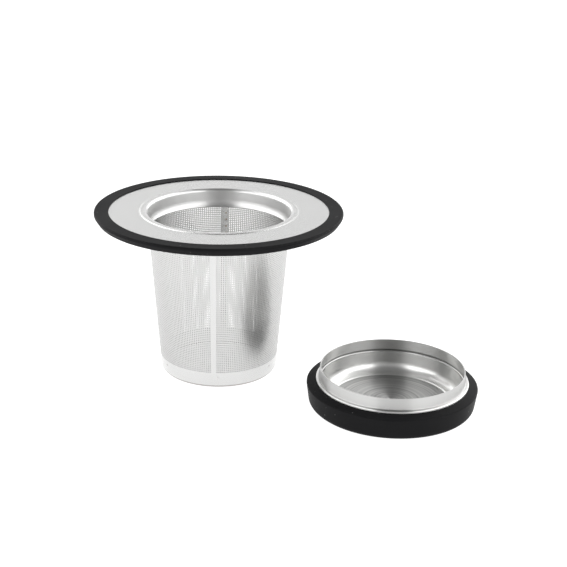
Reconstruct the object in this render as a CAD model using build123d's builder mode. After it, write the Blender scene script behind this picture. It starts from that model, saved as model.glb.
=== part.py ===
"""Basket strainer for a mug: a fine-mesh steel basket hanging from a wide rim, with its lid beside it.

Millimetres, +Z up. The origin is the centre of the basket's floor, on the surface that it stands on.
+X points from the basket to the lid, which lies upside down on the same surface.
"""
from build123d import *
from math import acos, atan, cos, degrees, radians, sin
import os

os.makedirs("parts", exist_ok=True)

# ---- Driving dimensions --------------------------------------------------------------------------

# Rim plate with its drawn throat
plate_top_z = 71.0
plate_t = 0.5
plate_r = 50.0
bead_foot_r = 33.8          # a low flat bead round the throat begins here
bead_run = 0.8
bead_rise = 0.25
bead_bend_r = 0.6
lip_r = 1.2                 # the bead rolls over into the throat
throat_r = 30.3             # inner radius of the throat's straight wall
throat_foot_z = 66.4        # the straight wall ends here and the throat necks in
neck_r = 5.0
neck_turn = 37.0

# Silicone gasket on the rim
gasket_r = 52.5
gasket_knee_z = 70.3        # the outer side turns inwards here
gasket_foot_r = 51.0
gasket_top_z = 71.4
gasket_bottom_z = 68.0
gasket_lip_r = 46.4         # inner edge over the plate
gasket_under_r = 45.4       # inner edge under the plate
gasket_edge_r = 0.6
gasket_lip_edge_r = 0.2
gasket_knee_r = 1.0

# Basket wall, rolled from one sheet and lapped at the seam
wall_t = 0.25
wall_floor_r = 25.0         # outer radius, carried down to the floor
wall_bottom_z = 1.4
wall_top_z = 68.6
seam_azimuth = 114.0
seam_width = 3.2

# Base cup
base_t = 0.3
base_corner_r = 1.3
base_rim_z = 6.3

# Spot welds
weld_r = 0.45
weld_proud = 0.06
seam_weld_pitch = 3.0
seam_weld_first_z = 9.5
seam_weld_count = 18
seam_weld_shift = 0.5       # off the middle of the lap
collar_weld_z = 67.4
collar_weld_count = 12
base_weld_z = 4.9
base_weld_count = 6
base_weld_azimuth = 57.8
lid_weld_r = 0.3
lid_weld_count = 12
lid_weld_ring_r = 30.8

# Lid, upside down
lid_x = 81.5
lid_t = 0.4
collar_rim_r = 29.8         # outer radius of the plug ring's free edge
collar_r = 30.2             # and of its foot
collar_top_z = 15.8
shoulder_z = 11.1
shoulder_r = 31.4           # outer radius of both steel flanges, resting on the silicone
shoulder_edge_r = 0.35
fold_r = 0.2
dish_r = 29.3               # inner radius of the pan's wall
dish_floor_z = 1.25
dish_corner_r = 4.0
dish_step_r = 25.0          # the floor steps down inside this radius
dish_step_run = 0.5
dish_step_drop = 0.3
dish_step_edge_r = 0.1

# Silicone grip ring on the lid
grip_r = 35.3
grip_foot_r = 34.0
grip_knee_z = 9.2           # the top slopes down from the shoulder to here, then the side tapers in
grip_knee_r = 0.6
grip_foot_edge_r = 2.5
grip_hole_r = 26.8          # inner edge round the lid's top
grip_hole_edge_r = 0.3

# ---- Worked out ----------------------------------------------------------------------------------

plate_bottom_z = plate_top_z - plate_t
bead_top_z = plate_top_z + bead_rise

neck_centre = (throat_r - neck_r, throat_foot_z)
neck_outer_r = neck_r + plate_t
cone_top_r = neck_centre[0] + neck_outer_r * cos(radians(neck_turn))
cone_top_z = neck_centre[1] - neck_outer_r * sin(radians(neck_turn))
wall_slope = (cone_top_r - (wall_floor_r - wall_t)) / cone_top_z
wall_tilt = degrees(atan(wall_slope))
seam_angle = degrees(2 * seam_width / (cone_top_r + wall_floor_r))

shoulder_bottom_z = shoulder_z - lid_t
dish_flange_bottom_z = shoulder_bottom_z - lid_t
dish_ledge_z = dish_floor_z + dish_step_drop
dish_outer_r = dish_r + lid_t
dish_corner_centre = (dish_r - dish_corner_r, dish_ledge_z + dish_corner_r)
dish_corner_outer_r = dish_corner_r + lid_t
grip_hole_angle = degrees(acos((grip_hole_r - dish_corner_centre[0]) / dish_corner_outer_r))


def wall_inner(z):
    """Inner radius of the conical wall at height z."""
    return wall_floor_r - wall_t + wall_slope * z


def section(azimuth=0.0, axis_x=0.0):
    """Upright plane through an axis at axis_x: local x runs outwards, local y runs up."""
    a = radians(azimuth)
    return Plane(origin=(axis_x, 0, 0), x_dir=(cos(a), sin(a), 0), z_dir=(sin(a), -cos(a), 0))


def corners(sketch, *points):
    """The sketch's vertices at the given points of its own plane."""
    return ShapeList(v for v in sketch.vertices() for p in points if (Vector(v) - Vector(*p)).length < 0.01)


def wall_spot(azimuth, z, radius):
    """Plane at a point of the conical wall, its normal square to the sheet and pointing outwards."""
    a, tilt = radians(azimuth), radians(wall_tilt)
    out = (cos(tilt) * cos(a), cos(tilt) * sin(a), -sin(tilt))
    return Plane(origin=(radius * cos(a), radius * sin(a), z), z_dir=out)


def wall_profile(thickness):
    """Section of the basket wall: it hugs the throat, follows its neck, then runs straight down."""
    with BuildSketch(mode=Mode.PRIVATE) as profile:
        with BuildLine():
            Line((throat_r + plate_t, wall_top_z), (throat_r + plate_t, throat_foot_z))
            CenterArc(neck_centre, neck_outer_r, 0, -neck_turn)
            Line((cone_top_r, cone_top_z), (wall_inner(wall_bottom_z), wall_bottom_z))
            offset(amount=thickness, side=Side.LEFT)
        make_face()
    return profile.sketch


# ---- Strainer ------------------------------------------------------------------------------------

# Rim plate: one pressing, flat rim, low bead, rolled lip, straight throat and necked-in foot
with BuildPart() as flange_plate:
    with BuildSketch(section()):
        with BuildLine():
            FilletPolyline(
                (plate_r, plate_top_z),
                (bead_foot_r, plate_top_z),
                (bead_foot_r - bead_run, bead_top_z),
                (throat_r, bead_top_z),
                (throat_r, throat_foot_z),
                radius=[bead_bend_r, bead_bend_r, lip_r],
            )
            CenterArc(neck_centre, neck_r, 0, -neck_turn)
            offset(amount=plate_t, side=Side.LEFT)
        make_face()
    revolve(axis=Axis.Z)

# Gasket: grips the plate's edge in a groove, flat underneath where it sits on a mug
with BuildPart() as rim_gasket:
    with BuildSketch(section()) as gasket_profile:
        with BuildLine():
            Polyline(
                (gasket_lip_r, plate_top_z),
                (gasket_lip_r, gasket_top_z),
                (gasket_r, gasket_top_z),
                (gasket_r, gasket_knee_z),
                (gasket_foot_r, gasket_bottom_z),
                (gasket_under_r, gasket_bottom_z),
                (gasket_under_r, plate_bottom_z),
                (plate_r, plate_bottom_z),
                (plate_r, plate_top_z),
                close=True,
            )
        make_face()
        foot = corners(gasket_profile, (gasket_foot_r, gasket_bottom_z), (gasket_under_r, gasket_bottom_z))
        fillet(foot, gasket_edge_r)
        fillet(corners(gasket_profile, (gasket_r, gasket_top_z)), gasket_edge_r)
        fillet(corners(gasket_profile, (gasket_r, gasket_knee_z)), gasket_knee_r)
        fillet(corners(gasket_profile, (gasket_lip_r, gasket_top_z)), gasket_lip_edge_r)
    revolve(axis=Axis.Z)

# Basket wall: a cone with a plain skin, and the lap of the seam standing proud on the outside
with BuildPart() as basket_wall:
    with BuildSketch(section()):
        add(wall_profile(wall_t))
    revolve(axis=Axis.Z)
    with BuildSketch(section(seam_azimuth - seam_angle / 2)):
        add(wall_profile(2 * wall_t))
    revolve(axis=Axis.Z, revolution_arc=seam_angle)

# Base cup: flat floor, rounded corner, and an edge turned up inside the wall
with BuildPart() as base_cup:
    with BuildSketch(section()):
        with BuildLine():
            FilletPolyline(
                (0, 0), (wall_inner(0), 0), (wall_inner(base_rim_z), base_rim_z), radius=base_corner_r
            )
            offset(amount=base_t, side=Side.LEFT)
        make_face()
    revolve(axis=Axis.Z)

# Seam welds: one row down the lap, a little off its middle
seam_weld_azimuth = seam_azimuth - degrees(seam_weld_shift / wall_floor_r)
seam_weld_heights = [seam_weld_first_z + i * seam_weld_pitch for i in range(seam_weld_count)]
with BuildPart() as seam_welds:
    with Locations(*[wall_spot(seam_weld_azimuth, z, wall_inner(z) + wall_t) for z in seam_weld_heights]):
        Cylinder(weld_r, 2 * (wall_t + weld_proud))

# Collar welds: wall to throat, from inside the throat's sheet to just proud of the wall
collar_weld_depth = plate_t / 2 + wall_t + weld_proud
with BuildPart(Plane.XY.offset(collar_weld_z)) as collar_welds:
    with PolarLocations(throat_r + plate_t / 2 + collar_weld_depth / 2, collar_weld_count):
        Cylinder(weld_r, collar_weld_depth, rotation=(0, 90, 0))

# Base welds: wall to base cup
base_weld_r = wall_inner(base_weld_z) + (wall_t - base_t) / 2
base_weld_azimuths = [base_weld_azimuth + i * 360 / base_weld_count for i in range(base_weld_count)]
with BuildPart() as base_welds:
    with Locations(*[wall_spot(a, base_weld_z, base_weld_r) for a in base_weld_azimuths]):
        Cylinder(weld_r, wall_t + base_t + 2 * weld_proud)

# ---- Lid, upside down ----------------------------------------------------------------------------

lid_axis = Axis((lid_x, 0, 0), (0, 0, 1))

# Plug ring: enters the throat, with a short flange folded out at its foot as the shoulder
with BuildPart() as lid_collar:
    with BuildSketch(section(axis_x=lid_x)) as plug_profile:
        with BuildLine():
            FilletPolyline(
                (collar_rim_r, collar_top_z), (collar_r, shoulder_z), (shoulder_r, shoulder_z), radius=fold_r
            )
            offset(amount=lid_t, side=Side.RIGHT)
        make_face()
        fillet(corners(plug_profile, (shoulder_r, shoulder_z)), shoulder_edge_r)
    revolve(axis=lid_axis)

# Pan: flange under the shoulder, straight wall, rounded corner, ledge and sunk floor
with BuildPart() as lid_dish:
    with BuildSketch(section(axis_x=lid_x)):
        with BuildLine():
            FilletPolyline(
                (shoulder_r, shoulder_bottom_z),
                (dish_r, shoulder_bottom_z),
                (dish_r, dish_ledge_z),
                (dish_step_r, dish_ledge_z),
                (dish_step_r - dish_step_run, dish_floor_z),
                (0, dish_floor_z),
                radius=[fold_r + lid_t, dish_corner_r, dish_step_edge_r, dish_step_edge_r],
            )
            offset(amount=lid_t, side=Side.LEFT)
        make_face()
    revolve(axis=lid_axis)

# Grip ring: flush under the pan's flange, down the pan's wall and round its corner
with BuildPart() as lid_grip_ring:
    with BuildSketch(section(axis_x=lid_x)) as grip_profile:
        with BuildLine():
            Polyline(
                (dish_outer_r, dish_corner_centre[1]),
                (dish_outer_r, dish_flange_bottom_z),
                (shoulder_r, dish_flange_bottom_z),
                (grip_r, grip_knee_z),
                (grip_foot_r, 0),
                (grip_hole_r, 0),
                (
                    grip_hole_r,
                    dish_corner_centre[1] - dish_corner_outer_r * sin(radians(grip_hole_angle)),
                ),
            )
            CenterArc(dish_corner_centre, dish_corner_outer_r, -grip_hole_angle, grip_hole_angle)
        make_face()
        fillet(corners(grip_profile, (dish_outer_r, dish_flange_bottom_z)), fold_r)
        fillet(corners(grip_profile, (grip_foot_r, 0)), grip_foot_edge_r)
        fillet(corners(grip_profile, (grip_r, grip_knee_z)), grip_knee_r)
        fillet(corners(grip_profile, (grip_hole_r, 0)), grip_hole_edge_r)
    revolve(axis=lid_axis)

# Lid welds: nuggets inside both flanges, half a sheet deep each way
with BuildPart(Plane((lid_x, 0, shoulder_bottom_z))) as lid_welds:
    with PolarLocations(lid_weld_ring_r, lid_weld_count):
        Cylinder(lid_weld_r, lid_t)

# ---- Files ---------------------------------------------------------------------------------------

pieces = {
    "flange_plate": flange_plate,
    "rim_gasket": rim_gasket,
    "basket_wall": basket_wall,
    "base_cup": base_cup,
    "seam_welds": seam_welds,
    "collar_welds": collar_welds,
    "base_welds": base_welds,
    "lid_dish": lid_dish,
    "lid_collar": lid_collar,
    "lid_grip_ring": lid_grip_ring,
    "lid_welds": lid_welds,
}
for name, piece in pieces.items():
    piece.part.label = name
    export_step(piece.part, f"parts/{name}.step")
    box = piece.part.bounding_box()
    print(f"{name:14s} solids {len(piece.part.solids()):3d}  volume {piece.part.volume:9.1f}  box {box}")
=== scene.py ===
"""Basket strainer and its lid: finishes, perforated sheets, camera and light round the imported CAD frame."""

from math import atan2, cos, pi, radians, sin

import bpy
import numpy as np
from mathutils import Matrix, Vector
from mathutils.geometry import tessellate_polygon


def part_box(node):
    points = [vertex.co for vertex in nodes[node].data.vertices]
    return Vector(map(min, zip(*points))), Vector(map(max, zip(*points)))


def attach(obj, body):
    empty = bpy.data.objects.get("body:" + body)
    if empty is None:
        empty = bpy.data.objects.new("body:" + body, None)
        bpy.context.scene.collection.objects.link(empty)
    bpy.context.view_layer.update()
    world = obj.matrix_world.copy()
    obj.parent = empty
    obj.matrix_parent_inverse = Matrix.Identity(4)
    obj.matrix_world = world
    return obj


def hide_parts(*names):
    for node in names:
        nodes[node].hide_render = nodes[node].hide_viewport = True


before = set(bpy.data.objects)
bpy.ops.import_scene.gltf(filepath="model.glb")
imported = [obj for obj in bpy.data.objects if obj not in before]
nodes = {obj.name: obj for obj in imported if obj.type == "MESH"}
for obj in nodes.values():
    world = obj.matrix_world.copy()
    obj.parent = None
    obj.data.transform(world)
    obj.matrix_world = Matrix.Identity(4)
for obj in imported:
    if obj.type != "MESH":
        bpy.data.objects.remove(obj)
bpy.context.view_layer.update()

# ---- Sizes, in metres ----------------------------------------------------------------------------

MM = 0.001

# The perforated sheet: rows of round holes between plain borders
hole_r = 0.25 * MM
hole_sides = 8                   # two to each side of the square cell round the hole
row_pitch = 0.85 * MM
columns = 49                     # of holes, in each quarter of the wall
plain_foot_z = 7.0 * MM          # the wall is plain below this
front_strip = 2.2 * MM           # width of the plain strip on the side away from the seam
floor_margin = 0.2 * MM          # between the perforated floor and the cup's corner
floor_border = 1.0 * MM          # plain edge of the perforated floor

# Sections of the sheets, as in the CAD
wall_t = 0.25 * MM
wall_floor_r = 25.0 * MM         # outer radius, carried down to the floor
neck_r = 5.5 * MM                # the wall follows the outside of the throat's neck
neck_turn = radians(37)
seam_width = 3.2 * MM
seam_azimuth = radians(114)
cup_t = 0.3 * MM
cup_corner_r = 1.3 * MM
throat_t = 0.5 * MM
lid_t = 0.4 * MM
plug_r = 30.2 * MM               # outer radius of the lid's plug ring at its foot
plug_rim_r = 29.8 * MM           # and at its free edge
shoulder_z = 11.1 * MM
sunk_r = 24.5 * MM               # radius of the lid's sunk floor

# Worked out from the frame
wall_low, wall_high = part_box("basket_wall")
_, cup_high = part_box("base_cup")
throat_low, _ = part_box("flange_plate")
lid_low, lid_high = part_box("lid_collar")
lid_x = (lid_low.x + lid_high.x) / 2

throat_out = wall_high.x - wall_t
throat_r = throat_out - throat_t
cone_top = (throat_out - neck_r * (1 - cos(neck_turn)), throat_low.z)
neck_centre = (throat_out - neck_r, cone_top[1] + neck_r * sin(neck_turn))
slope = (cone_top[0] - cup_high.x) / (cone_top[1] - cup_high.z)
wall_tilt = atan2(slope, 1)
wall_foot_z = wall_low.z + wall_t * sin(wall_tilt)
seam_half = seam_width / (cone_top[0] + wall_floor_r)


def cone(z, out=0.0):
    """Radius and height of a point on the wall, out metres off its inner skin, square to it."""
    return (cone_top[0] + slope * (z - cone_top[1]) + out * cos(wall_tilt), z - out * sin(wall_tilt))


# ---- Mesh making ---------------------------------------------------------------------------------

smooth_angle = radians(35)       # edges bent further than this stay sharp


def add_piece(name, points, faces, finish, slot, body, *replaced, hole_faces=None, hole_finish=None):
    """A smooth-shaded mesh object from arrays of points and equal-sided faces, riding on a body.

    The faces of the slice hole_faces, inside the holes, have a finish of their own.
    """
    points, faces = np.asarray(points, float), np.asarray(faces, int)
    mesh = bpy.data.meshes.new(name)
    mesh.vertices.add(len(points))
    mesh.vertices.foreach_set("co", points.ravel())
    mesh.loops.add(faces.size)
    mesh.loops.foreach_set("vertex_index", faces.ravel())
    mesh.polygons.add(len(faces))
    mesh.polygons.foreach_set("loop_start", np.arange(0, faces.size, faces.shape[1]))
    mesh.update(calc_edges=True)
    mesh.validate()
    mesh.shade_smooth()
    mesh.set_sharp_from_angle(angle=smooth_angle)
    mesh.materials.append(finish)
    if hole_finish:
        mesh.materials.append(hole_finish)
        marks = np.zeros(len(mesh.polygons), np.int32)
        marks[hole_faces] = 1
        mesh.polygons.foreach_set("material_index", marks)
    piece = bpy.data.objects.new(name, mesh)
    bpy.context.scene.collection.objects.link(piece)
    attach(piece, body)
    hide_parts(*replaced)


def shell(inner, outer, angles, whole=False):
    """Points and quads of a turned sheet between two skins of (radius, height) points.

    It covers the given angles, and closes up into a full ring if it is whole.
    """
    skins = np.array([inner, outer])
    n, m = len(angles), len(inner)
    radius, height = skins[:, None, :, 0], skins[:, None, :, 1]
    turn = angles[None, :, None]
    points = np.stack(
        [radius * np.cos(turn), radius * np.sin(turn), np.broadcast_to(height, (2, n, m))], axis=-1
    ).reshape(-1, 3)
    index = np.arange(2 * n * m).reshape(2, n, m)
    if whole:
        index = np.concatenate([index, index[:, :1]], axis=1)

    def quads(a, b, c, d):
        return np.stack([a, b, c, d], axis=-1).reshape(-1, 4)

    i, o = index
    faces = [
        quads(o[:-1, :-1], o[1:, :-1], o[1:, 1:], o[:-1, 1:]),
        quads(i[:-1, :-1], i[:-1, 1:], i[1:, 1:], i[1:, :-1]),
        quads(i[:-1, 0], i[1:, 0], o[1:, 0], o[:-1, 0]),
        quads(o[:-1, -1], o[1:, -1], i[1:, -1], i[:-1, -1]),
    ]
    if not whole:
        faces.append(quads(i[0, :-1], o[0, :-1], o[0, 1:], i[0, 1:]))
        faces.append(quads(o[-1, :-1], i[-1, :-1], i[-1, 1:], o[-1, 1:]))
    return points, np.concatenate(faces)


def joined(*parts):
    """One array of points and one of faces from several."""
    points, faces, start = [], [], 0
    for part_points, part_faces in parts:
        points.append(part_points)
        faces.append(part_faces + start)
        start += len(part_points)
    return np.concatenate(points), np.concatenate(faces)


def kept_outline(kept):
    """Grid corners (iu, iv) in order round the outside of the kept cells, anticlockwise."""
    nu, nv = kept.shape
    following = {}
    for i, j in zip(*np.nonzero(kept)):
        for start, end, neighbour in (
            ((i + 1, j), (i + 1, j + 1), (i + 1, j)), ((i + 1, j + 1), (i, j + 1), (i, j + 1)),
            ((i, j + 1), (i, j), (i - 1, j)), ((i, j), (i + 1, j), (i, j - 1)),
        ):
            inside = 0 <= neighbour[0] < nu and 0 <= neighbour[1] < nv and kept[neighbour]
            if not inside:
                following[start] = end
    loop = [next(iter(following))]
    while following[loop[-1]] != loop[0]:
        loop.append(following[loop[-1]])
    return loop


def perforated(u_edges, v_edges, place, reach, kept=None):
    """A sheet with one round hole in each kept cell of a grid.

    place(u, v, side) gives the points of one skin, 0 inner or 1 outer. reach(u, v) gives the hole's half
    width in u and in v. Cells run anticlockwise in (u, v) as seen from outside. The results are points,
    triangles, the numbers of the inner skin's outline points, how much higher the outer skin's numbers
    are, and the slice of triangles that line the holes.
    """
    nu, nv = len(u_edges) - 1, len(v_edges) - 1
    if kept is None:
        kept = np.ones((nu, nv), bool)
    iu, iv = np.nonzero(kept)
    cells = len(iu)
    uc, vc = (u_edges[iu] + u_edges[iu + 1]) / 2, (v_edges[iv] + v_edges[iv + 1]) / 2
    turn = np.linspace(0, 2 * pi, hole_sides, endpoint=False)
    du, dv = reach(uc, vc)
    hole_u = uc[:, None] + du[:, None] * np.cos(turn)
    hole_v = vc[:, None] + dv[:, None] * np.sin(turn)
    grid_u, grid_v = (g.ravel() for g in np.meshgrid(u_edges, v_edges, indexing="ij"))
    skins = []
    for side in (0, 1):
        skins.append(place(grid_u, grid_v, side))
        skins.append(place(hole_u.ravel(), hole_v.ravel(), side))
    points = np.concatenate(skins)

    corners, rims = len(grid_u), cells * hole_sides
    jump = corners + rims
    inner_rim = corners + np.arange(rims).reshape(cells, hole_sides)
    faces = []
    for side in (0, 1):
        corner = [side * jump + (iu + a) * (nv + 1) + iv + b for a, b in ((1, 0), (1, 1), (0, 1), (0, 0))]
        rim = side * jump + inner_rim
        for k in range(4):      # the cell's right, top, left and bottom sides
            first, second = corner[k], corner[(k + 1) % 4]
            before, middle, after = (rim[:, (2 * k + s) % hole_sides] for s in (-1, 0, 1))
            for tri in ((first, second, middle), (first, middle, before), (second, after, middle)):
                faces.append(np.stack(tri if side else tri[::-1], axis=-1))
    skin_faces = sum(len(f) for f in faces)
    outer_rim = inner_rim + jump
    for k in range(hole_sides):
        following = (k + 1) % hole_sides
        a, b = inner_rim[:, k], inner_rim[:, following]
        c, d = outer_rim[:, following], outer_rim[:, k]
        faces += [np.stack((a, b, c), axis=-1), np.stack((a, c, d), axis=-1)]
    faces = np.concatenate(faces)
    outline = np.array([i * (nv + 1) + j for i, j in kept_outline(kept)])
    return points, faces, outline, jump, slice(skin_faces, len(faces))


def closed_edge(outline, jump):
    """Triangles that join the two skins along the outline."""
    a, b = outline, np.roll(outline, -1)
    return np.concatenate([np.stack((a, b, b + jump), axis=-1), np.stack((a, b + jump, a + jump), axis=-1)])


# ---- Shader graphs -------------------------------------------------------------------------------

class Graph:
    """Short calls for adding nodes to a shader tree."""

    def __init__(self, tree):
        self.tree = tree

    def add(self, kind, *inputs, out=0, named=None, **settings):
        """A node's output; inputs, in order or by name, are sockets to link or values to set."""
        node = self.tree.nodes.new("ShaderNode" + kind)
        for key, value in settings.items():
            setattr(node, key, value)
        for key, value in [*enumerate(inputs), *(named or {}).items()]:
            if isinstance(value, bpy.types.NodeSocket):
                self.tree.links.new(value, node.inputs[key])
            else:
                node.inputs[key].default_value = value
        return node.outputs[out]

    def math(self, operation, *inputs):
        return self.add("Math", *inputs, operation=operation)

    def vector(self, operation, *inputs, out=0):
        return self.add("VectorMath", *inputs, operation=operation, out=out)

    def ramp(self, value, low, high, to_low, to_high, smooth=False):
        """to_low up to low, to_high from high on, and a run between them."""
        return self.add("MapRange", value, low, high, to_low, to_high,
                        interpolation_type="SMOOTHSTEP" if smooth else "LINEAR")

    def above(self, value, limit, blur):
        """0 below the limit and 1 above it, over a run of blur either way."""
        return self.ramp(value, limit - blur, limit + blur, 0.0, 1.0)

    def below(self, value, limit, blur):
        return self.ramp(value, limit - blur, limit + blur, 1.0, 0.0)

    def blend(self, factor, a, b):
        """A number between a at factor 0 and b at factor 1."""
        return self.ramp(factor, 0.0, 1.0, a, b)

    def vary(self, noise, low, high, half=0.2):
        """A number that follows a noise from low to high over half either way of the noise's middle."""
        return self.ramp(noise, 0.5 - half, 0.5 + half, low, high)


class Finish(Graph):
    """A material with a Principled shader; keyword arguments set its sockets."""

    def __init__(self, name, **sockets):
        self.material = bpy.data.materials.new(name)
        self.material.use_nodes = True
        super().__init__(self.material.node_tree)
        self.shader = self.tree.nodes["Principled BSDF"]
        for key, value in sockets.items():
            self.shader.inputs[key.replace("_", " ")].default_value = value

    def link(self, socket, name):
        self.tree.links.new(socket, self.shader.inputs[name])

    def here(self):
        return self.add("TexCoord", out="Object")

    def around(self, centre_x):
        """Distance from the axis, unit direction away from it, and height."""
        moved = self.vector("SUBTRACT", self.here(), (centre_x, 0, 0))
        flat = self.vector("MULTIPLY", moved, (1, 1, 0))
        length = self.vector("LENGTH", flat, out="Value")
        height = self.add("SeparateXYZ", self.here(), out="Z")
        return length, self.vector("NORMALIZE", flat), height

    def noise(self, vector, scale=1.0, detail=2.0, roughness=0.5, out=0):
        named = {"Vector": vector, "Scale": scale, "Detail": detail, "Roughness": roughness}
        return self.add("TexNoise", named=named, out=out)

    def mix(self, factor, a, b):
        """A colour between a and b, which are sockets or plain colours."""
        node = self.tree.nodes.new("ShaderNodeMix")
        node.data_type = "RGBA"
        self.tree.links.new(factor, node.inputs["Factor"])
        for key, value in (("A", a), ("B", b)):
            socket = [s for s in node.inputs if s.name == key and s.type == "RGBA"][0]
            if isinstance(value, bpy.types.NodeSocket):
                self.tree.links.new(value, socket)
            else:
                socket.default_value = (*value, 1)
        return [s for s in node.outputs if s.type == "RGBA"][0]

    def bump(self, height, strength, distance):
        named = {"Height": height, "Strength": strength, "Distance": distance}
        self.link(self.add("Bump", named=named, out="Normal"), "Normal")


# ---- Finishes ------------------------------------------------------------------------------------

steel = (0.62, 0.62, 0.615)
lid_colour = (0.70, 0.70, 0.69)
rubber = (0.009, 0.009, 0.0095)
shadow = (0.05, 0.05, 0.05)
# brownish painted shade at the foot of the basket
foot_shade = (0.16, 0.13, 0.11)
dust_colour = (0.22, 0.22, 0.22)


class TurnedSteel(Finish):
    """Steel with fine rings round an axis, as spinning and brushing leave it, and soft uneven patches.

    Its roughness is inner within change_r of the axis and outer beyond, give or take spread. Some rings
    are darker, by up to tone. grain is the number of rings to a metre.
    """

    change_run = 0.5 * MM        # the roughness changes over this, either way
    ring_wander = (0, 1.5, 1.5)  # how far the rings drift on their way round
    ring_share = 0.7             # of the unevenness; the rest is patches
    tangent_rise = (0, 0, 0.3)   # keeps the tangent from vanishing on upright walls
    scratch_scale = 20000.0      # of tumbled scratches, too fine to be told apart
    scratch_weight = 1000.0      # lets them outweigh the rings

    def __init__(self, name, centre_x, colour, inner, outer, change_r, spread, grain, anisotropy, tone):
        super().__init__(name, Metallic=1.0, Anisotropic=anisotropy)
        self.radius, outward, self.height = self.around(centre_x)
        along = self.math("MULTIPLY", self.math("ADD", self.radius, self.height), grain)
        drift = self.vector("MULTIPLY", outward, self.ring_wander)
        rings = self.vector("ADD", self.add("CombineXYZ", along, 0, 0), drift)
        self.lines = self.noise(rings, detail=4.0, roughness=0.6)
        patches = self.noise(self.here(), scale=90.0)
        uneven = self.math(
            "ADD", self.math("MULTIPLY", self.lines, self.ring_share),
            self.math("MULTIPLY", patches, 1 - self.ring_share),
        )
        base = self.ramp(self.radius, change_r - self.change_run, change_r + self.change_run, inner, outer)
        self.link(self.math("ADD", base, self.vary(uneven, -spread, spread)), "Roughness")
        self.shade = self.mix(self.vary(uneven, 0.0, 1.0), [c * (1 - tone) for c in colour], colour)
        self.link(self.shade, "Base Color")
        self.way = self.vector("ADD", outward, self.tangent_rise)
        self.link(self.way, "Tangent")

    def tint(self, amount, colour):
        """Turns the colour towards another by an amount that varies."""
        self.shade = self.mix(amount, self.shade, colour)
        self.link(self.shade, "Base Color")

    def tumble(self, start_r):
        """Lets the grain run every way beyond start_r, as tumbling leaves it."""
        beyond = self.math("GREATER_THAN", self.radius, start_r)
        scratch = self.noise(self.here(), scale=self.scratch_scale, detail=0.0, out="Color")
        level = self.vector("MULTIPLY", self.vector("SUBTRACT", scratch, (0.5, 0.5, 0.5)), (1, 1, 0))
        weight = self.math("MULTIPLY", beyond, self.scratch_weight)
        any_way = self.add("VectorMath", level, named={"Scale": weight}, operation="SCALE")
        self.link(self.vector("ADD", self.way, any_way), "Tangent")


def rim_finish():
    """Turned in the throat and over the rolled lip, tumbled on the flat plate."""
    f = TurnedSteel("rim_steel", 0.0, steel, inner=0.38, outer=0.26, change_r=throat_r + 1.2 * MM,
                    spread=0.01, grain=1800.0, anisotropy=0.75, tone=0.015)
    f.tumble(throat_r + 1.3 * MM)
    return f.material


def lid_finish():
    """Spun satin: broad rings on the sunk floor, with painted shade over that floor, in the joint and on the
    outside of the plug ring.
    """
    f = TurnedSteel("lid_steel", lid_x, lid_colour, inner=0.42, outer=0.30, change_r=sunk_r,
                    spread=0.02, grain=1500.0, anisotropy=0.80, tone=0.04)

    # How far each painted shade turns the colour towards shadow: on the sunk floor, in the joint, and on the
    # outside of the plug ring.
    floor_shade_tone, joint_shade_tone, outside_shade_tone = 0.58, 0.42, 0.33
    # Painted shade over the sunk floor, varied by broad rings of the spinning.
    rings = f.add("CombineXYZ", f.math("MULTIPLY", f.radius, 900.0), 0, 0)
    broad = f.noise(rings, detail=3.0, roughness=0.6)
    depth = f.vary(broad, floor_shade_tone * 1.25, floor_shade_tone * 0.75, half=0.15)
    f.tint(f.math("MULTIPLY", f.below(f.radius, sunk_r, 0.3 * MM), depth), shadow)

    # Painted shade in the crease where the plug ring meets the dish, inside and out.
    joint_foot_z, joint_top_z = shoulder_z - 1.05 * MM, shoulder_z + 0.25 * MM
    joint_shade = f.math("MULTIPLY", f.above(f.height, joint_foot_z, 0.1 * MM),
                   f.below(f.height, joint_top_z, 0.05 * MM))
    joint_shade = f.math("MULTIPLY", joint_shade, f.below(f.radius, plug_r + 0.3 * MM, 0.05 * MM))
    f.tint(f.math("MULTIPLY", joint_shade, joint_shade_tone), shadow)

    # Painted shade on the outside of the plug ring, above the shoulder.
    middle_r = f.ramp(f.height, shoulder_z, lid_high.z, plug_r - lid_t / 2, plug_rim_r - lid_t / 2)
    outside = f.above(f.math("SUBTRACT", f.radius, middle_r), 0.0, 0.05 * MM)
    outside = f.math("MULTIPLY", outside, f.above(f.height, joint_top_z, 0.05 * MM))
    f.tint(f.math("MULTIPLY", outside, outside_shade_tone), shadow)
    f.bump(f.lines, 0.02, 0.04 * MM)
    return f.material


def band_finish():
    """The basket's plain sheet, faintly lined, with a brownish painted shade where it stands on the table."""
    f = TurnedSteel("mesh_steel_band", 0.0, steel, inner=0.24, outer=0.24, change_r=throat_r,
                    spread=0.02, grain=900.0, anisotropy=0.2, tone=0.02)
    # Painted shade, brownish, over the lowest millimetre, where the sheet meets the table.
    foot_shade_z = 1.1 * MM
    f.tint(f.ramp(f.height, foot_shade_z / 2, foot_shade_z, 0.8, 0.0), foot_shade)
    return f.material


def sheet_finish(name, colour, roughness):
    """Thin rolled sheet, bright annealed."""
    return Finish(name, Metallic=1.0, Roughness=roughness, Base_Color=(*colour, 1)).material


def weld_finish(name, dark, light):
    """Resistance welds: a dull spot with uneven heat tint."""
    f = Finish(name, Metallic=1.0)
    patch = f.noise(f.here(), scale=700.0)
    f.link(f.mix(f.vary(patch, 0.0, 1.0, half=0.15), dark, light), "Base Color")
    f.link(f.vary(patch, 0.35, 0.55), "Roughness")
    return f.material


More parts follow.
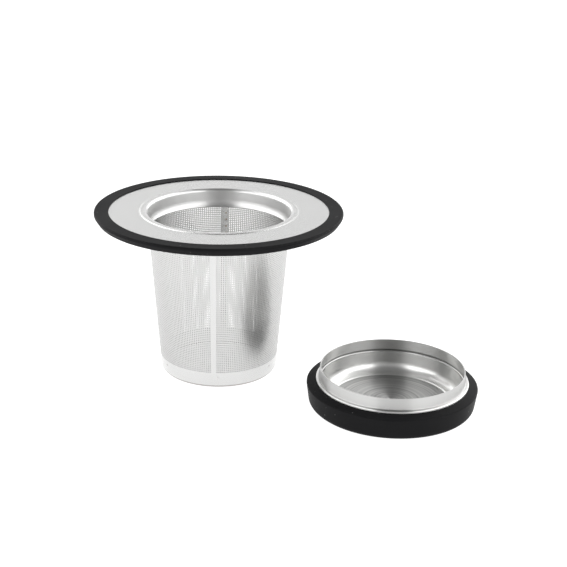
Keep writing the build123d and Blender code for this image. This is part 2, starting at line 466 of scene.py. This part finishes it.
def silicone_finish(name, colour, roughness):
    """Matt moulded silicone with a fine skin and a little dust."""
    f = Finish(name, Specular_IOR_Level=0.038)
    cloud = f.noise(f.here(), scale=60.0)
    f.link(f.vary(cloud, roughness - 0.05, roughness + 0.05), "Roughness")
    base = f.mix(f.vary(cloud, 0.0, 1.0), [c * 0.9 for c in colour], [c * 1.1 for c in colour])
    scatter = {"Vector": f.here(), "Scale": 420.0, "Randomness": 1.0}
    specks = f.add("TexVoronoi", named=scatter, out="Distance")
    chosen = f.noise(f.here(), scale=250.0, detail=0.0)
    dust = f.math("MULTIPLY", f.below(specks, 0.085, 0.025), f.above(chosen, 0.65, 0.03))
    f.link(f.mix(f.math("MULTIPLY", dust, 0.7), base, dust_colour), "Base Color")
    f.bump(f.noise(f.here(), scale=2600.0, detail=3.0, roughness=0.6), 0.25, 0.03 * MM)
    return f.material


rim_steel = rim_finish()
lid_steel = lid_finish()
band_steel = band_finish()
mesh_steel = sheet_finish("mesh_steel", steel, 0.32)
# The hole walls are rougher, and darker: the darker colour is painted shade inside the holes.
shaded_hole_steel = sheet_finish("hole_edge_shaded_steel", (0.38, 0.38, 0.375), 0.5)
spot_steel = weld_finish("weld_steel", (0.54, 0.535, 0.53), (0.61, 0.605, 0.60))
seam_spot_steel = weld_finish("weld_steel_tinted", (0.36, 0.30, 0.24), (0.52, 0.48, 0.43))
rim_silicone = silicone_finish("rim_silicone", rubber, 0.5)
lid_silicone = silicone_finish("lid_silicone", rubber, 0.5)

for node, finish in {
    "flange_plate": rim_steel, "rim_gasket": rim_silicone, "seam_welds": seam_spot_steel,
    "collar_welds": spot_steel, "base_welds": spot_steel, "lid_dish": lid_steel,
    "lid_collar": lid_steel, "lid_grip_ring": lid_silicone, "lid_welds": spot_steel,
}.items():
    nodes[node].material_slots[0].material = finish

# ---- Basket wall ---------------------------------------------------------------------------------

strip_half = front_strip / 2 / cone((plain_foot_z + cone_top[1]) / 2)[0]
row_count = round((cone_top[1] - plain_foot_z) / row_pitch)
row_edges = np.linspace(plain_foot_z, cone_top[1], row_count + 1)


def wall_place(u, v, side):
    radius, height = cone(v, wall_t * side)
    return np.stack([radius * np.cos(u), radius * np.sin(u), height], axis=-1)


def wall_reach(u, v):
    return hole_r / cone(v)[0], np.full_like(v, hole_r * cos(wall_tilt))


# Two quarters on each side, between the seam and the plain strip
seam_left, seam_right = seam_azimuth + seam_half, seam_azimuth - seam_half
half_ring = pi - seam_half - strip_half
quarters = [
    (seam_left, seam_left + half_ring / 2),
    (seam_left + half_ring / 2, seam_left + half_ring),
    (seam_right - half_ring, seam_right - half_ring / 2),
    (seam_right - half_ring / 2, seam_right),
]
column_angles = []
for number, (start, end) in enumerate(quarters, 1):
    edges = np.linspace(start, end, columns + 1)
    column_angles.append(edges[:-1])
    points, faces, outline, jump, holes = perforated(edges, row_edges, wall_place, wall_reach)
    faces = np.concatenate([faces, closed_edge(outline, jump)])
    add_piece(f"wall_mesh_{number}", points, faces, mesh_steel, "mesh_steel", "strainer", "basket_wall",
              hole_faces=holes, hole_finish=shaded_hole_steel)

front = seam_azimuth + pi
strip_angles = np.linspace(front - strip_half, front + strip_half, 4)
seam_angles = np.linspace(seam_right, seam_left, 6)
ring_angles = np.unique(np.round(np.concatenate(
    [np.mod(angles, 2 * pi) for angles in (*column_angles, strip_angles, seam_angles)]), 6))
neck_angles = np.linspace(neck_turn, 0, 6)


def wall_top(out):
    """Skin of the wall's upper part, out metres off the throat: round the neck, then straight up."""
    x, z = neck_centre
    arc = [(x + (neck_r + out) * cos(turn), z - (neck_r + out) * sin(turn)) for turn in neck_angles]
    return arc + [(throat_out + out, wall_high.z)]


def wall_run(out, low, high):
    return [cone(low, out), cone(high, out)]


def wall_whole(out):
    """Skin of the wall from its foot to the top of its collar."""
    return [cone(wall_foot_z, out)] + wall_top(out)


def add_plain(name, points, faces):
    add_piece(name, points, faces, band_steel, "mesh_steel", "strainer", "basket_wall")


border = (wall_foot_z, plain_foot_z)
perforated_run = (plain_foot_z, cone_top[1])
add_plain("wall_border", *shell(wall_run(0, *border), wall_run(wall_t, *border), ring_angles, True))
add_plain("wall_collar", *shell(wall_top(0), wall_top(wall_t), ring_angles, True))
add_plain("wall_front_strip",
          *shell(wall_run(0, *perforated_run), wall_run(wall_t, *perforated_run), strip_angles))
add_plain("wall_seam", *joined(
    shell(wall_run(0, *perforated_run), wall_run(wall_t, *perforated_run), seam_angles),
    shell(wall_whole(wall_t), wall_whole(2 * wall_t), seam_angles)))

# ---- Base cup ------------------------------------------------------------------------------------

floor_r = cone(0)[0] - cup_corner_r - floor_margin
cup_top_z = cup_high.z - 0.02 * MM


def cup_skin(depth):
    """Skin of the cup's edge, depth metres in from its outside: floor, corner, then up inside the wall."""
    r = cup_corner_r - depth
    centre_r = cone(cup_corner_r)[0] - cup_corner_r / cos(wall_tilt)
    corner_angles = np.linspace(0, pi / 2 - wall_tilt, 9)
    arc = [(centre_r + r * sin(turn), cup_corner_r - r * cos(turn)) for turn in corner_angles]
    return [(floor_r, depth), *arc, cone(cup_top_z, -depth)]


add_piece("base_edge", *shell(cup_skin(cup_t), cup_skin(0), ring_angles, True),
          band_steel, "mesh_steel", "strainer", "base_cup")

# The floor: the cells that lie wholly within its plain border have a hole
mesh_r = floor_r - floor_border
half_count = int(mesh_r / row_pitch) + 1
floor_edges = np.arange(-half_count, half_count + 1) * row_pitch
far = np.maximum(np.abs(floor_edges[:-1]), np.abs(floor_edges[1:]))
inside = np.hypot(far[:, None], far[None, :]) <= mesh_r


def floor_place(u, v, side):
    return np.stack([u, v, np.full_like(u, cup_t * side)], axis=-1)


def floor_reach(u, v):
    return np.full_like(u, hole_r), np.full_like(v, hole_r)


points, faces, outline, jump, holes = perforated(
    floor_edges, floor_edges, floor_place, floor_reach, inside)

# The border fills the space between the stepped outline and a circle, on both skins
rim = np.stack([floor_r * np.cos(ring_angles), floor_r * np.sin(ring_angles)], axis=-1)
rim_index = len(points) + np.arange(len(rim))
points = np.concatenate([points] + [np.c_[rim, np.full(len(rim), cup_t * side)] for side in (0, 1)])
loops = [[Vector((*p, 0)) for p in rim], [Vector((*points[i][:2], 0)) for i in outline[::-1]]]
lower = np.concatenate([rim_index, outline[::-1]])
upper = np.concatenate([rim_index + len(rim), outline[::-1] + jump])
triangles = np.array(tessellate_polygon(loops))
a, b, c = (points[lower[triangles[:, k]]][:, :2] for k in range(3))
anticlockwise = (b - a)[:, 0] * (c - a)[:, 1] - (b - a)[:, 1] * (c - a)[:, 0] > 0
triangles[~anticlockwise] = triangles[~anticlockwise][:, ::-1]
faces = np.concatenate(
    [faces, lower[triangles][:, ::-1], upper[triangles], closed_edge(rim_index, len(rim))])
add_piece("base_mesh", points, faces, mesh_steel, "mesh_steel", "strainer", "base_cup",
          hole_faces=holes, hole_finish=shaded_hole_steel)

# ---- Camera and floor ----------------------------------------------------------------------------

camera_place = (0.2463, -0.4455, 0.22875)
camera_turn, camera_dip, camera_roll = radians(25.81), radians(20.53), radians(1.22)

camera_data = bpy.data.cameras.new("camera")
camera_data.lens = 79.94
camera_data.sensor_width = 36.0
camera = bpy.data.objects.new("camera", camera_data)
bpy.context.scene.collection.objects.link(camera)
camera.matrix_world = (
    Matrix.Translation(camera_place)
    @ Matrix.Rotation(camera_turn, 4, "Z")
    @ Matrix.Rotation(pi / 2 - camera_dip, 4, "X")
    @ Matrix.Rotation(camera_roll, 4, "Z")
)
bpy.context.scene.camera = camera

floor_finish = Finish(
    "floor", Roughness=1.0, Specular_IOR_Level=0.0, Base_Color=(0.32, 0.32, 0.32, 1),
    Emission_Color=(1, 1, 1, 1), Emission_Strength=0.95,
)
bpy.ops.mesh.primitive_plane_add(size=6.0, location=(0, 0, -0.0002))
floor = bpy.context.object
floor.name = "floor"
floor.data.materials.append(floor_finish.material)

# ---- Light: a pale studio drawn on the world -----------------------------------------------------
#
# Two large side panels leave a gap in front of the object and another behind it. Directions are unit
# vectors: away is how far one points the way the camera looks, across how far to either side of that,
# and up how far upwards.

view_azimuth = radians(116)
panel_level = 2.8
panel_blur = 0.08
gap_near = 0.40                  # half width of the gap on the camera's side
gap_far_low = 0.36               # and behind the object, low down
gap_far_high = 0.18              # and higher up
gap_turn = (-0.6, 0.6)           # in away, from the near gap to the far one
gap_narrowing = (0.40, 0.65)     # in up, from low to high
front_level = 0.5                # in the gap, on the camera's side
back_level = 1.05                # and behind the object
front_to_back = (-0.5, 0.3)      # in away
ceiling_level = 0.2              # in the gap, above the backdrop
ceiling_start = (0.48, 0.62)     # in up
overhead_level = 0.6             # of the panels, above the object and towards the camera
overhead_start = (0.60, 0.78)    # in up
overhead_end = (0.40, 0.20)      # in away

world = bpy.data.worlds.new("world")
bpy.context.scene.world = world
world.use_nodes = True

studio = Graph(world.node_tree)
direction = studio.add("TexCoord", out="Generated")
forward = (cos(view_azimuth), sin(view_azimuth), 0)
sideways = (sin(view_azimuth), -cos(view_azimuth), 0)
away = studio.vector("DOT_PRODUCT", direction, forward, out="Value")
across = studio.math("ABSOLUTE", studio.vector("DOT_PRODUCT", direction, sideways, out="Value"))
up = studio.add("SeparateXYZ", direction, out="Z")

gap_far = studio.ramp(up, *gap_narrowing, gap_far_low, gap_far_high)
gap = studio.ramp(away, *gap_turn, gap_near, gap_far)
past_gap = studio.math("SUBTRACT", across, gap)
on_panel = studio.ramp(past_gap, -panel_blur, panel_blur, 0.0, 1.0, smooth=True)
backdrop = studio.ramp(away, *front_to_back, front_level, back_level, smooth=True)
on_ceiling = studio.ramp(up, *ceiling_start, 0.0, 1.0, smooth=True)
overhead = studio.math("MULTIPLY", studio.ramp(up, *overhead_start, 0.0, 1.0),
                       studio.ramp(away, *overhead_end, 0.0, 1.0))
in_gap = studio.blend(on_ceiling, backdrop, ceiling_level)
panels = studio.blend(overhead, panel_level, overhead_level)
level = studio.blend(on_panel, in_gap, panels)
seen = studio.add("LightPath", out="Is Camera Ray")      # the camera itself sees plain white
background = world.node_tree.nodes["Background"]
background.inputs["Color"].default_value = (1, 1, 1, 1)
world.node_tree.links.new(studio.blend(seen, level, 1.0), background.inputs["Strength"])
bpy.context.scene.view_settings.view_transform = "Standard"
